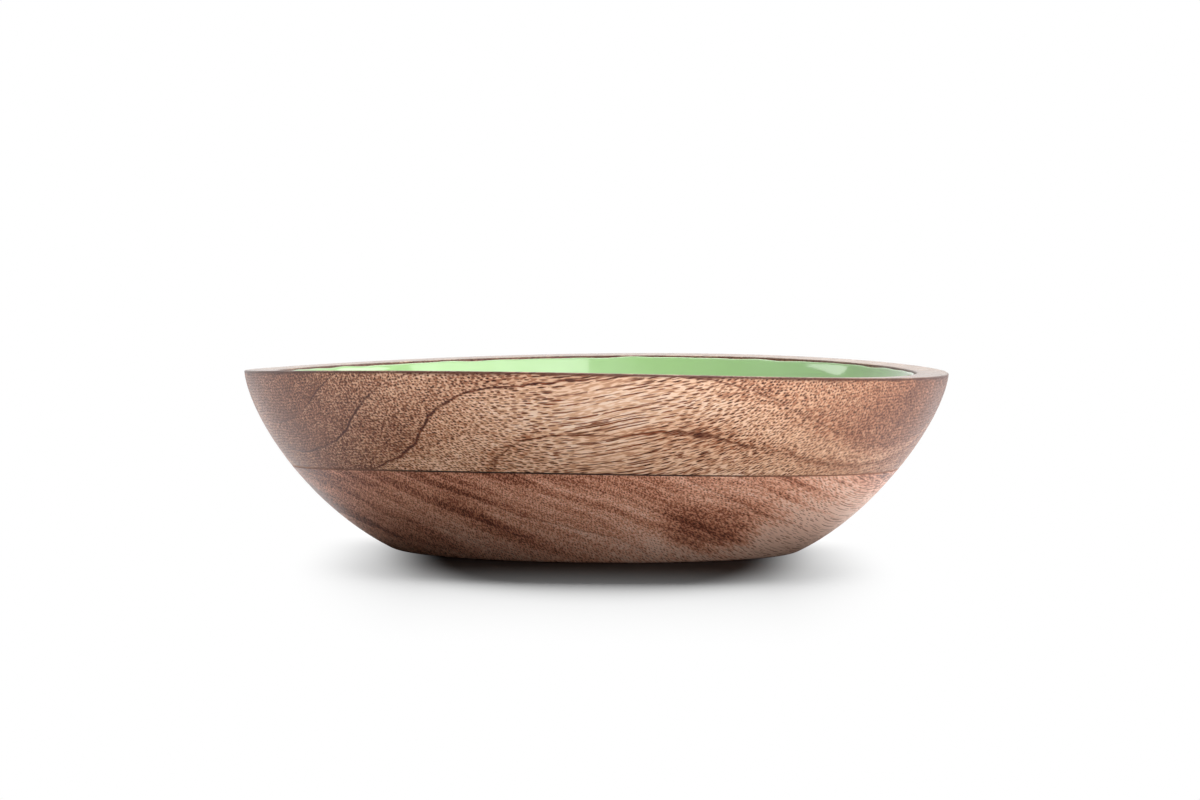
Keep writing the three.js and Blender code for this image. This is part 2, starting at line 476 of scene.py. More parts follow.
@dataclass(frozen=True)
class WoodFinish:
    """Satin lacquered hardwood, known through its whole depth so that every side shows its true grain.

    The tones run from the darkest wood to the palest. The zones give a tone to each ring radius, and a board
    without zones has one base tone. Besides the wood's own paler and darker patches, some patches and the
    drift
    are painted shade and light: they darken the back and the upper board's left end, and lighten the lower
    board towards its foot and its lower right, to stand in for light that falls unevenly.
    """

    name: str
    rings: GrowthRings
    pores: Pores
    tones: tuple[Colour, ...]
    pore_colours: tuple[Colour, Colour]
    line_colours: tuple[Colour, Colour]
    line_width: float
    clear_from: Span
    clear_to: Span
    unclear: float
    late_shade: float
    ring_variety: float
    # Patches where the wood itself is paler or darker, and patches of painted shade and light
    stains_and_painted_shading: tuple[Patch, ...]
    # A tone that runs evenly across the bowl, partly painted shade and light
    tone_and_shading_drift: Point
    patch_scale: Point
    patch_strength: float
    streak_scale: Point
    streak_strength: float
    grain: Point
    grain_strength: float
    zones: tuple[Span, ...] = ()
    base_tone: float = 0.0
    pale_tones: Span = (0.3, 0.85)
    line_gap_scale: float = 55.0
    line_gaps: Ease = (0.3, 0.55, 0.4, 1.0)
    early_season: Span = (0.03, 0.2)
    early_share: float = 0.8
    late_season: Span = (0.45, 1.0)
    streak_detail: float = 3.0
    streak_roughness: float = 0.6
    grain_edge: Span = (0.4, 0.6)
    calm: Span = (0.04, 0.09)
    calm_grain: float = 1.0
    mark_wander: float = 0.007
    mark_scale: float = 70.0
    roughness: float = 0.42
    pore_roughness: float = 0.6
    pore_depth: float = 0.0001
    specular: float = 0.33
    lacquer: float = 0.24
    lacquer_roughness: float = 0.25
    polish_gain: float = 0.18
    # Painted sheen: a pale colour laid over the glossy rim top, by this share, stands in for its glint
    painted_sheen_colour: Colour = (240, 222, 204)
    painted_sheen_share: float = 0.36

    def material(self) -> bpy.types.Material:
        """Build the wood.

        Returns:
            The material.
        """
        material, graph = new_material(self.name)
        point = graph.object_point()
        radius = self.rings.radius(graph, point)
        index = self.rings.index(graph, radius)
        fibre_point = self.pores.fibre_point(graph, point)
        vessels = self.pores.cover(graph, fibre_point)
        tone = self._tone(graph, point, fibre_point, radius, index)
        colour = graph.ramp(tone, self.tones)
        pale = graph.span(tone, *self.pale_tones)
        lines = self._lines(graph, point, index)
        for share, ends in ((lines, self.line_colours), (vessels, self.pore_colours)):
            over = graph.blend(pale, *(display_colour(end) for end in ends))
            colour = graph.blend(share, colour, over)
        # Painted sheen: the glossy rim top is laid over with a pale colour that stands in for its glint
        polish_and_sheen = graph.attribute("polish_and_sheen")
        sheen = display_colour(self.painted_sheen_colour)
        colour = graph.blend(graph.product(polish_and_sheen, self.painted_sheen_share), colour, sheen)
        # The rim's two edges are drawn darker along a thin line
        colour = graph.blend(graph.attribute("rim_edge_darkening"), colour, display_colour(self.line_colours[0]))
        self._shade(graph, colour, vessels, polish_and_sheen)
        return material

    def _lines(self, graph: Graph, point: Socket, index: Socket) -> Socket:
        """Make the thin dark growth lines patchy, and fainter towards the ends of the board.

        Args:
            graph: Builder of the nodes.
            point: Point in the bowl's frame.
            index: Number of growth lines passed.

        Returns:
            The strength of the nearest line, from 0 to 1.
        """
        line = self.rings.lines(graph, index, self.line_width)
        gaps = graph.noise(point, self.line_gap_scale, detail=2.0).outputs["Fac"]
        return graph.product(line, self._clearness(graph, point), graph.span(gaps, *self.line_gaps))

    def _clearness(self, graph: Graph, point: Socket) -> Socket:
        """Find how clearly the rings show: fully along the middle of the board, and less towards its ends.

        Args:
            graph: Builder of the nodes.
            point: Point in the bowl's frame.

        Returns:
            The clearness, from unclear to 1.
        """
        along = graph.dot(point, X_AXIS)
        rising = graph.span(along, *self.clear_from, self.unclear, 1.0)
        falling = graph.span(along, *self.clear_to, 1.0, self.unclear)
        return graph.product(rising, falling)

    def _tone(
        self, graph: Graph, point: Socket, fibre_point: Socket, radius: Socket, index: Socket
    ) -> Socket:
        """Add up all that makes the wood between its vessels paler or darker, painted shade and light among
        it.

        Args:
            graph: Builder of the nodes.
            point: Point in the bowl's frame.
            fibre_point: Point in the fibre frame.
            radius: Ring radius.
            index: Number of growth lines passed.

        Returns:
            The tone, from 0 for the darkest wood to 1 for the palest.
        """
        patches = graph.noise(graph.turn(fibre_point, scale=self.patch_scale), 1.0, self.streak_detail)
        stretched = graph.turn(fibre_point, scale=self.streak_scale)
        streaks = graph.noise(stretched, 1.0, self.streak_detail, self.streak_roughness)
        grain = graph.noise(graph.vector("DIVIDE", fibre_point, self.grain)).outputs["Fac"]
        speckle = graph.span(grain, *self.grain_edge, -self.grain_strength, self.grain_strength)
        bold = graph.span(graph.dot(point, X_AXIS), *self.calm, 1.0, self.calm_grain)
        ragged = graph.centred_vector(graph.noise(point, self.mark_scale, detail=3.0), self.mark_wander)
        marked = graph.vector("ADD", point, ragged)
        return graph.sum(
            graph.centred(patches, self.patch_strength),
            graph.centred(streaks, self.streak_strength),
            graph.product(speckle, bold),
            graph.product(self._season(graph, index), self._clearness(graph, point)),
            graph.curve(radius, list(self.zones)) if self.zones else self.base_tone,
            # Painted shade and light: the drift and some patches change the tone by place, for light that
            # falls unevenly
            graph.dot(point, self.tone_and_shading_drift),
            *(mark.share(graph, marked) for mark in self.stains_and_painted_shading),
        )

    def _season(self, graph: Graph, index: Socket) -> Socket:
        """Shade each ring from pale early wood to dark late wood, and give it a tone of its own.

        Args:
            graph: Builder of the nodes.
            index: Number of growth lines passed.

        Returns:
            The change of tone.
        """
        season = graph.math("FRACT", index)
        early = graph.span(season, *self.early_season, self.early_share * self.late_shade, 0.0)
        late = graph.span(season, *self.late_season, 0.0, -self.late_shade)
        whole = graph.math("FLOOR", index)
        ring = graph.node("ShaderNodeTexWhiteNoise", {"W": whole}, noise_dimensions="1D")
        variety = graph.product(graph.minus(ring.outputs["Value"], 0.5), self.ring_variety)
        return graph.sum(early, late, variety)

    def _shade(self, graph: Graph, colour: Socket, vessels: Socket, polish_and_sheen: Socket) -> None:
        """Join colour, sunken vessels and lacquer in the surface shader.

        Args:
            graph: Builder of the nodes.
            colour: Colour of the wood.
            vessels: Share of vessel.
            polish_and_sheen: How glossy the rim's top is made, from 0 to 1.
        """
        dull = graph.span(vessels, 0.0, 1.0, self.roughness, self.pore_roughness)
        height = graph.product(vessels, graph.minus(polish_and_sheen, 1.0))
        graph.show(graph.node("ShaderNodeBsdfPrincipled", {
            "Base Color": colour,
            "Roughness": graph.minus(dull, graph.product(polish_and_sheen, self.polish_gain)),
            "Specular IOR Level": self.specular,
            "Coat Weight": self.lacquer,
            "Coat Roughness": self.lacquer_roughness,
            "Normal": graph.bump(height, self.pore_depth),
        }))


@dataclass(frozen=True)
class EnamelFinish:
    """Glossy green enamel with a slight unevenness left by the brush and the oven."""

    name: str = "green_enamel"
    colour: Colour = (189, 229, 164)
    thin_colour: Colour = (177, 220, 146)
    cloud_scale: float = 26.0
    cloud_edge: Span = (0.35, 0.7)
    roughness: float = 0.12
    gloss_coat: float = 0.92
    gloss_roughness: float = 0.035
    ripple_scale: float = 160.0
    ripple_depth: float = 0.00006

    def material(self) -> bpy.types.Material:
        """Build the enamel.

        Returns:
            The material.
        """
        material, graph = new_material(self.name)
        point = graph.object_point()
        clouds = graph.noise(point, self.cloud_scale, detail=3.0).outputs["Fac"]
        share = graph.span(clouds, *self.cloud_edge)
        normal = graph.bump(graph.noise(point, self.ripple_scale).outputs["Fac"], self.ripple_depth)
        graph.show(graph.node("ShaderNodeBsdfPrincipled", {
            "Base Color": graph.blend(share, display_colour(self.thin_colour), display_colour(self.colour)),
            "Roughness": self.roughness,
            "Coat Weight": self.gloss_coat,
            "Coat Roughness": self.gloss_roughness,
            "Normal": normal,
            "Coat Normal": normal,
        }))
        return material


@dataclass(frozen=True)
class GlueFinish:
    """Dark adhesive, uneven where it was wiped and sanded, and darkest where most was squeezed out."""

    name: str = "joint_glue"
    dark: Colour = (40, 24, 16)
    light: Colour = (150, 100, 74)
    wipe_scale: float = 45.0
    wipe_strength: float = 0.9
    squeeze_place: Point = (-0.022, -0.11, 0.03)
    squeeze_reach: Span = (0.02, 0.13)
    roughness: float = 0.55

    def material(self) -> bpy.types.Material:
        """Build the glue.

        Returns:
            The material.
        """
        material, graph = new_material(self.name)
        point = graph.object_point()
        wiped = graph.centred(graph.noise(point, self.wipe_scale, detail=3.0), self.wipe_strength)
        squeezed = graph.span(graph.measure("DISTANCE", point, self.squeeze_place), *self.squeeze_reach)
        colour = graph.ramp(graph.sum(wiped, squeezed), (self.dark, self.light))
        inputs = {"Base Color": colour, "Roughness": self.roughness}
        graph.show(graph.node("ShaderNodeBsdfPrincipled", inputs))
        return material


@dataclass(frozen=True)
class FloorFinish:
    """Matt table: the bowl's shadow, with a painted soft edge, and as white as the background away from it.

    Plain is the grey that throws light back at the bowl, and seen is the grey that the camera sees.
    """

    name: str = "white_table"
    plain: float = 0.13
    seen: float = 0.083
    shadow_aside: Span = (0.055, 0.103)
    shadow_ahead: Span = (0.08, 0.4)
    shadow_roundness: float = 1.5
    core_half: Span = (0.058, 0.19)
    core_edge: Span = (0.93, 1.37)
    core_weight: float = 0.35
    gloss_ahead: Span = (0.3, 0.5)

    def material(self) -> bpy.types.Material:
        """Build the table top: near the bowl it takes shadow, and far from it it is plain white.

        Returns:
            The material.
        """
        material, graph = new_material(self.name)
        shown = graph.seen_directly()
        colour = graph.blend(shown, grey(self.plain), grey(self.seen))
        shaded = graph.node("ShaderNodeBsdfDiffuse", {"Color": colour})
        white = graph.node("ShaderNodeEmission")
        away = graph.vector("ABSOLUTE", graph.object_point())
        aside, ahead, _ = graph.node("ShaderNodeSeparateXYZ", {0: away}).outputs
        camera = graph.node("ShaderNodeLightPath").outputs["Is Camera Ray"]
        # Painted shadow edge: outside a fixed oval and oblong the camera sees plain white, not the table's
        # shade
        outside = graph.product(camera, self._painted_shadow_edge(graph, aside, ahead))
        distant = graph.product(shown, graph.span(ahead, *self.gloss_ahead))
        share = graph.math("MAXIMUM", outside, distant)
        inputs = {0: share, 1: shaded.outputs[0], 2: white.outputs[0]}
        graph.show(graph.node("ShaderNodeMixShader", inputs))
        return material

    def _painted_shadow_edge(self, graph: Graph, aside: Socket, ahead: Socket) -> Socket:
        """Paint the bowl's shadow's soft edge: ease from 0 where the table takes the shadow to 1 outside it.

        Part of it is a rounded oblong: the distances past its core, as shares of its soft edge, are added up
        as powers. The rest is an oval with a sharper edge, reached where the squared shares of its two half
        widths add up to about 1.

        Args:
            graph: Builder of the nodes.
            aside: Distance from the middle to the left or right.
            ahead: Distance from the middle to the front or back.

        Returns:
            The share of plain white.
        """
        powers = []
        for place, (low, high) in ((aside, self.shadow_aside), (ahead, self.shadow_ahead)):
            past = graph.ratio(graph.minus(place, low), high - low, clamp=True)
            powers.append(graph.math("POWER", past, self.shadow_roundness))
        oblong = graph.span(graph.math("POWER", graph.sum(*powers), 1.0 / self.shadow_roundness), 0.0, 1.0)
        shares = [graph.ratio(place, half) for place, half in zip((aside, ahead), self.core_half)]
        oval = graph.span(graph.length(*shares), *self.core_edge, 0.0, self.core_weight)
        return graph.sum(oval, graph.product(oblong, 1.0 - self.core_weight))


def arc(centre: Span, radius: float, start: float, end: float, rows: int) -> np.ndarray:
    """Lay points along a left-turning arc of an outline.

    A point at heading h lies at the centre plus the radius times (sine of h, minus cosine of h).

    Args:
        centre: Distance from the axis and height of the centre.
        radius: Radius of the arc.
        start: Heading at its start, in degrees from outwards.
        end: Heading at its end.
        rows: Number of points.

    Returns:
        One row of distance and height for each point.
    """
    heading = np.radians(np.linspace(start, end, rows))
    return np.column_stack((centre[0] + radius * np.sin(heading), centre[1] - radius * np.cos(heading)))


def straight(start: np.ndarray, end: np.ndarray, rows: int) -> np.ndarray:
    """Lay points evenly between two ends of a straight stretch, without the ends.

    Args:
        start: First end.
        end: Second end.
        rows: Number of points between them.

    Returns:
        One row for each point.
    """
    share = np.linspace(0.0, 1.0, rows + 2)[1:-1, None]
    return (1.0 - share) * np.asarray(start) + share * np.asarray(end)


@dataclass(frozen=True)
class Wall:
    """Cubic curve that leaves one point at a heading and reaches another point at another heading."""

    start: np.ndarray
    start_heading: float
    start_reach: float
    end: np.ndarray
    end_heading: float
    end_reach: float

    def _controls(self) -> np.ndarray:
        """Find the four control points: the ends, and each end moved along its heading by its reach.

        Returns:
            One row of distance and height for each control point.
        """
        first = math.radians(self.start_heading)
        last = math.radians(self.end_heading)
        leave = self.start + self.start_reach * np.array((math.cos(first), math.sin(first)))
        arrive = self.end - self.end_reach * np.array((math.cos(last), math.sin(last)))
        return np.array((self.start, leave, arrive, self.end))

    def at(self, share: np.ndarray, offset: float | np.ndarray = 0.0) -> np.ndarray:
        """Lay points on the cubic curve, moved towards the inside of the bowl along the curve's normal.

        The point at share s is the sum of the four control points times (1 - s) cubed, 3 s times (1 - s)
        squared, 3 (1 - s) times s squared and s cubed. The normal is the slope of that curve, turned left.

        Args:
            share: Places on the curve, from 0 to 1.
            offset: Distance to move each point.

        Returns:
            One row of distance and height for each place.
        """
        share = np.asarray(share, float)[:, None]
        rest = 1.0 - share
        a, b, c, d = self._controls()
        point = rest**3 * a + 3 * rest**2 * share * b + 3 * rest * share**2 * c + share**3 * d
        slope = rest**2 * (b - a) + 2 * rest * share * (c - b) + share**2 * (d - c)
        slope /= np.linalg.norm(slope, axis=1)[:, None]
        inwards = np.column_stack((-slope[:, 1], slope[:, 0]))
        return point + np.reshape(offset, (-1, 1)) * inwards

    def share_at(self, height: float) -> float:
        """Return the place on the rising curve that has a height."""
        shares = np.linspace(0.0, 1.0, WALL_SAMPLES)
        return float(np.interp(height, self.at(shares)[:, 1], shares))


@dataclass(frozen=True)
class BowlForm:
    """Sizes of the turned form, the same as in the solids."""

    rim_radius: float = 0.125
    rim_height: float = 0.0635
    rim_outer_round: float = 0.0005
    rim_wall_angle: float = 83.5
    rim_wall_reach: float = 0.016
    foot_radius: float = 0.0695
    foot_round: float = 0.0085
    heel_angle: float = 26.5
    heel_reach: float = 0.031
    standing_ring_width: float = 0.015
    foot_hollow_depth: float = 0.0012
    rim_width: float = 0.0115
    rim_inner_round: float = 0.0006
    inner_wall_angle: float = 80.0
    inner_wall_reach: float = 0.016
    floor_thickness: float = 0.012
    floor_radius: float = 0.045
    floor_reach: float = 0.042
    joint_height: float = 0.030
    glue_thickness: float = 0.0004
    enamel_thickness: float = 0.0007
    enamel_edge_drop: float = 0.0008
    enamel_feather: float = 0.0008
    bond_clearance: float = 0.00005
    cupping_lift: float = 0.003
    winding_lift: float = 0.00195
    tilt_lift: float = 0.0008

    def foot_arc(self, rows: int) -> np.ndarray:
        """Return the round between the standing ring and the wall."""
        return arc((self.foot_radius, self.foot_round), self.foot_round, 0.0, self.heel_angle, rows)

    def rim_outer_arc(self, rows: int) -> np.ndarray:
        """Return the round of the rim's outer edge."""
        centre = (self.rim_radius - self.rim_outer_round, self.rim_height - self.rim_outer_round)
        return arc(centre, self.rim_outer_round, self.rim_wall_angle, 180.0, rows)

    def rim_inner_arc(self, rows: int) -> np.ndarray:
        """Return the round of the rim's inner edge."""
        centre = (self.rim_inside() + self.rim_inner_round, self.rim_height - self.rim_inner_round)
        return arc(centre, self.rim_inner_round, 180.0, 180.0 + self.inner_wall_angle, rows)

    def rim_inside(self) -> float:
        """Return the radius of the rim's inner edge."""
        return self.rim_radius - self.rim_width

    def outer_wall(self) -> Wall:
        """Return the outside of the wall, from the foot's round to the rim's outer round."""
        start, end = self.foot_arc(2)[-1], self.rim_outer_arc(2)[0]
        return Wall(start, self.heel_angle, self.heel_reach, end, self.rim_wall_angle, self.rim_wall_reach)

    def inner_wall(self) -> Wall:
        """Return the inside of the wall, from the floor to the rim's inner round."""
        start, end = np.array((self.floor_radius, self.floor_thickness)), self.rim_inner_arc(2)[-1]
        return Wall(start, 0.0, self.floor_reach, end, self.inner_wall_angle, self.inner_wall_reach)

    def warped(self, points: np.ndarray) -> np.ndarray:
        """Lift points as the boards have cupped, wound and tilted.

        The lift is a share of the square of y, of x times y, and of x, each measured in rim radii, and it
        eases in from the standing face to the joint.

        Args:
            points: Points with x, y and z in the last axis.

        Returns:
            The lifted points.
        """
        share = np.clip(points[..., 2] / self.joint_height, 0.0, 1.0)
        ease = share**2 * (3.0 - 2.0 * share)
        along = points[..., 0] / self.rim_radius
        across = points[..., 1] / self.rim_radius
        lift = self.cupping_lift * across**2 + self.winding_lift * along * across + self.tilt_lift * along
        lifted = points.copy()
        lifted[..., 2] += ease * lift
        return lifted


class Ends(Enum):
    """How an outline that is turned about the axis closes."""

    ON_AXIS = "both ends lie on the axis"
    RING = "the last point joins the first"


@dataclass
class Turning:
    """A surface turned about +Z: an outline carried round the axis.

    The outline is a row of points (distance d, height h). Point i at angle a lies at
    (d cos a, d sin a, h), and the outline runs up the outside and down the inside, so faces point out.
    """

    name: str
    outline: np.ndarray
    ends: Ends
    around: int = 480

    def angles(self) -> np.ndarray:
        """Return the angles of the columns of the grid."""
        return np.arange(self.around) * (2.0 * math.pi / self.around)

    def grid(self) -> np.ndarray:
        """Carry the outline round the axis, by the formula above.

        Returns:
            Points as rows of the outline and columns round the axis.
        """
        angle = self.angles()[None, :]
        distance = self.outline[:, 0][:, None]
        height = np.broadcast_to(self.outline[:, 1][:, None], (len(self.outline), self.around))
        return np.stack((distance * np.cos(angle), distance * np.sin(angle), height), axis=-1)

    def _faces(self, rows: int) -> list[list[int]]:
        """Join the grid into quads, and its first and last row to a pole where they lie on the axis.

        Args:
            rows: Number of full rows of the grid.

        Returns:
            The corners of each face.
        """
        column = np.arange(self.around)
        after = (column + 1) % self.around
        row = np.arange(rows if self.ends is Ends.RING else rows - 1)[:, None] * self.around
        above = (row + self.around) % (rows * self.around)
        quads = np.stack((row + column, row + after, above + after, above + column), axis=-1)
        faces = quads.reshape(-1, 4).tolist()
        if self.ends is Ends.ON_AXIS:
            top = (rows - 1) * self.around
            low_pole = np.full(self.around, rows * self.around)
            low = np.column_stack((low_pole, after, column))
            high = np.column_stack((top + column, top + after, low_pole + 1))
            faces += low.tolist() + high.tolist()
        return faces

    def build(self, points: np.ndarray) -> bpy.types.Object:
        """Put the surface into a mesh.

        Args:
            points: Grid of points, as grid gives it or moved from there.

        Returns:
            The new object, smooth shaded, at the origin.
        """
        if self.ends is Ends.ON_AXIS:
            full, poles = points[1:-1], points[[0, -1], 0]
        else:
            full, poles = points, np.empty((0, 3))
        vertices = np.concatenate((full.reshape(-1, 3), poles))
        mesh = bpy.data.meshes.new(self.name)
        mesh.from_pydata(vertices.tolist(), [], self._faces(len(full)))
        mesh.polygons.foreach_set("use_smooth", np.ones(len(mesh.polygons), bool))
        mesh.update()
        piece = bpy.data.objects.new(self.name, mesh)
        bpy.context.scene.collection.objects.link(piece)
        return piece


def waves(angle: np.ndarray, counts: tuple[int, ...], phase: float) -> np.ndarray:
    """Add up sine waves round the bowl into an even, endless unevenness.

    Wave k goes round counts[k] times, from k + 1 times the phase, and the sum is scaled to about 1.

    Args:
        angle: Angles round the axis.
        counts: How often each wave goes round.
        phase: Where the first wave starts.

    Returns:
        The height of the unevenness at each angle.
    """
    count = np.asarray(counts)[:, None]
    start = phase * np.arange(1, len(counts) + 1)[:, None]
    return np.sin(count * angle[None, :] + start).sum(axis=0) / math.sqrt(len(counts))


def enrol(piece: bpy.types.Object, node: str, material: bpy.types.Material) -> bpy.types.Object:
    """Dress a finished piece, hang it on the body and hide the solid that it replaces.

    Args:
        piece: The piece.
        node: The solid that it replaces.
        material: Its finish.

    Returns:
        The same piece.
    """
    piece.data.materials.append(material)
    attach(piece, BODY)
    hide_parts(node)
    return piece


@dataclass
class Board:
    """What both boards share: the form, the finish and the small unevenness of hand sanding."""

    form: BowlForm
    finish: WoodFinish
    joint_chamfer: float = 0.0001
    joint_support: float = 0.00008
    joint_rows: int = 6
    sanding: float = 0.00012
    sanding_waves: tuple[int, ...] = (3, 5, 8, 13)
    sanding_phase: float = 1.7

    def sanded(self, grid: np.ndarray, angles: np.ndarray, weight: np.ndarray) -> np.ndarray:
        """Push points out from the axis, or in, by long sanding waves.

        A point moves along its radius by the sanding depth, times the waves at its angle, times its weight.

        Args:
            grid: Points of the turned surface.
            angles: Angles of its columns.
            weight: Share of the waves for each row of the outline.

        Returns:
            The moved points.
        """
        wave = self.sanding * waves(angles, self.sanding_waves, self.sanding_phase)
        outwards = np.stack((np.cos(angles), np.sin(angles), np.zeros_like(angles)), axis=-1)
        return grid + weight[:, None, None] * wave[None, :, None] * outwards[None]


@dataclass
class RimBoard(Board):
    """The upper board, turned to a ring that carries the rim."""

    outside_rows: int = 48
    round_rows: int = 9
    land_rows: int = 9
    inside_rows: int = 30
    # Width, waves, wander, drop and strength of the darker line drawn along the rim's two edges
    edge_dark_width: float = 0.0006
    edge_dark_waves: tuple[int, ...] = (7, 11, 19, 31, 47)
    edge_dark_phase: float = 2.3
    mark_wander: float = 0.35
    edge_dark_drop: float = 0.7
    edge_dark_strength: Span = (0.9, 0.95)

    def outline(self) -> np.ndarray:
        """Draw the ring's outline: up the outside, over the rim, down the inside and out along the joint.

        Points on the outside lie at shares of 1 minus a falling square, so they crowd towards the rim.

        Returns:
            One row of distance and height for each point.
        """
        form = self.form
        bottom = form.joint_height + form.glue_thickness / 2 + form.bond_clearance
        outer, inner = form.outer_wall(), form.inner_wall()
        start = outer.share_at(bottom + self.joint_chamfer)
        support = outer.share_at(bottom + self.joint_chamfer + self.joint_support)
        climb = 1.0 - np.linspace(1.0, 0.0, self.outside_rows) ** 2
        outside = outer.at(np.append(start, support + (1.0 - support) * climb))
        outer_round = form.rim_outer_arc(self.round_rows)[1:]
        inner_round = form.rim_inner_arc(self.round_rows)
        land = straight(outer_round[-1], inner_round[0], self.land_rows)
        inside = inner.at(np.linspace(1.0, inner.share_at(bottom), self.inside_rows))[1:]
        chamfer = np.array((outside[0, 0] - self.joint_chamfer, bottom))
        joint_face = straight(inside[-1], chamfer, self.joint_rows)
        parts = (outside, outer_round, land, inner_round, inside, joint_face, chamfer[None])
        return np.concatenate(parts)

    def build(self) -> bpy.types.Object:
        """Build and dress the board.

        Returns:
            The new piece.
        """
        form, outline = self.form, self.outline()
        turning = Turning("upper_board", outline, Ends.RING)
        from_inside = np.clip((outline[:, 0] - form.rim_inside()) / form.rim_width, 0, 1)
        from_joint = np.clip((outline[:, 1] - form.joint_height) / form.rim_width, 0, 1)
        grid = self.sanded(turning.grid(), turning.angles(), from_inside * from_joint)
        piece = turning.build(form.warped(grid))
        self._mark(piece, outline, turning.angles())
        return enrol(piece, "rim_board", self.finish.material())

    def _mark(self, piece: bpy.types.Object, outline: np.ndarray, angles: np.ndarray) -> None:
        """Store how much darker the rim's two edges are drawn, and how glossy their top is made.

        The darkening fades as a bell curve with the distance from each edge, and its width wanders round the
        bowl. The gloss rises from nothing at the foot of the outer round to all of it on the rim's top, and
        the same share lays the painted sheen there.

        Args:
            piece: The board.
            outline: Its outline.
            angles: Angles of its columns.
        """
        form = self.form
        inner_edge = (form.rim_inside(), form.rim_height - self.edge_dark_drop * form.enamel_edge_drop)
        outer_edge = form.rim_outer_arc(2)[0]
        wander = waves(angles, self.edge_dark_waves, self.edge_dark_phase)
        width = self.edge_dark_width * (1.0 + self.mark_wander * wander)[None, :]
        mark = np.zeros((len(outline), len(angles)))
        for edge, strength in zip((inner_edge, outer_edge), self.edge_dark_strength):
            near = np.linalg.norm(outline - np.asarray(edge), axis=1)[:, None] / width
            mark += strength * np.exp(-near**2)
        land = np.clip((outline[:, 1] - form.rim_height) / form.rim_outer_round + 1.0, 0, 1)
        polish_and_sheen = np.broadcast_to(land[:, None], mark.shape)
        for name, values in (("rim_edge_darkening", mark), ("polish_and_sheen", polish_and_sheen)):
            attribute = piece.data.attributes.new(name, "FLOAT", "POINT")
            attribute.data.foreach_set("value", values.astype(np.float32).ravel())


@dataclass
class BaseBoard(Board):
    """The lower board, turned to a dish with the foot, the floor and the lower wall."""

    hollow_rows: int = 70
    ring_rows: int = 5
    foot_rows: int = 12
    outside_rows: int = 40
    inside_rows: int = 24
    floor_rows: int = 8
    groove_pitch: float = 0.0016
    groove_depth: float = 0.00006
    groove_fade: int = 8
    sanded_from: float = 0.6

    def outline(self) -> np.ndarray:
        """Draw the dish's outline: out under the foot, up the outside, in along the joint, over the floor.

        Returns:
            One row of distance and height for each point.
        """
        form = self.form
        top = form.joint_height - form.glue_thickness / 2 - form.bond_clearance
        outer, inner = form.outer_wall(), form.inner_wall()
        end = outer.share_at(top - self.joint_chamfer)
        support = outer.share_at(top - self.joint_chamfer - self.joint_support)
        outside = outer.at(np.append(np.linspace(0.0, support, self.outside_rows), end))[1:]
        chamfer = np.array((outside[-1, 0] - self.joint_chamfer, top))
        inside = inner.at(np.linspace(inner.share_at(top), 0.0, self.inside_rows))
        joint_face = straight(chamfer, inside[0], self.joint_rows)
        centre = np.array((0.0, form.floor_thickness))
        floor = straight(inside[-1], centre, self.floor_rows)
        foot = form.foot_arc(self.foot_rows)
        parts = (self._underside(), foot, outside, chamfer[None], joint_face, inside, floor, centre[None])
        return np.concatenate(parts)

    def _underside(self) -> np.ndarray:
        """Draw the outline under the foot: a shallow parabola with fine turning grooves, then the flat ring.

        The hollow is its depth times 1 minus the square of the share of its radius, and the grooves are
        cosine waves that fade towards the ring.

        Returns:
            One row of distance and height for each point, from the axis outwards.
        """
        form = self.form
        share = np.linspace(0.0, 1.0, self.hollow_rows)
        distance = share * (form.foot_radius - form.standing_ring_width)
        groove = 0.5 * self.groove_depth * (1.0 - np.cos(2.0 * math.pi * distance / self.groove_pitch))
        height = form.foot_hollow_depth * (1.0 - share**2) + groove * (1.0 - share**self.groove_fade)
        hollow = np.column_stack((distance, height))
        ring = straight(hollow[-1], np.array((form.foot_radius, 0.0)), self.ring_rows)
        return np.concatenate((hollow, ring))

    def build(self) -> bpy.types.Object:
        """Build and dress the board.

        Returns:
            The new piece.
        """
        form, outline = self.form, self.outline()
        turning = Turning("lower_board", outline, Ends.ON_AXIS)
        outside = outline[:, 0] > form.inner_wall().at([self.sanded_from])[0, 0]
        from_foot = np.clip(outline[:, 1] / form.floor_thickness, 0, 1)
        from_joint = np.clip((form.joint_height - outline[:, 1]) / form.floor_thickness, 0, 1)
        grid = self.sanded(turning.grid(), turning.angles(), outside * from_foot * from_joint)
        piece = turning.build(form.warped(grid))
        return enrol(piece, "base_board", self.finish.material())


@dataclass
class GlueFilm:
    """The adhesive between the boards, a little hollow at its outer edge."""

    form: BowlForm
    finish: GlueFinish
    hollow: float = 0.00006
    sink_share: float = 0.3
    edge_rows: int = 5
    face_rows: int = 3

    def outline(self) -> np.ndarray:
        """Draw the film's outline: up its outer edge, in along the top and out along the bottom.

        The outer edge lies on the wall, sunk by the hollow times half a sine wave plus the sink share.

        Returns:
            One row of distance and height for each point.
        """
        form = self.form
        low = form.joint_height - form.glue_thickness / 2
        high = form.joint_height + form.glue_thickness / 2
        outer, inner = form.outer_wall(), form.inner_wall()
        edge = outer.at([outer.share_at(height) for height in np.linspace(low, high, self.edge_rows)])
        bulge = np.sin(np.linspace(0.0, math.pi, self.edge_rows))
        edge[:, 0] -= self.hollow * (bulge + self.sink_share)
        back = inner.at([inner.share_at(high), inner.share_at(low)])
        top = straight(edge[-1], back[0], self.face_rows)
        bottom = straight(back[1], edge[0], self.face_rows)
        return np.concatenate((edge, top, back, bottom))

    def build(self) -> bpy.types.Object:
        """Build and dress the film.

        Returns:
            The new piece.
        """
        turning = Turning("glue_line", self.outline(), Ends.RING)
        piece = turning.build(self.form.warped(turning.grid()))
        return enrol(piece, "glue_film", self.finish.material())


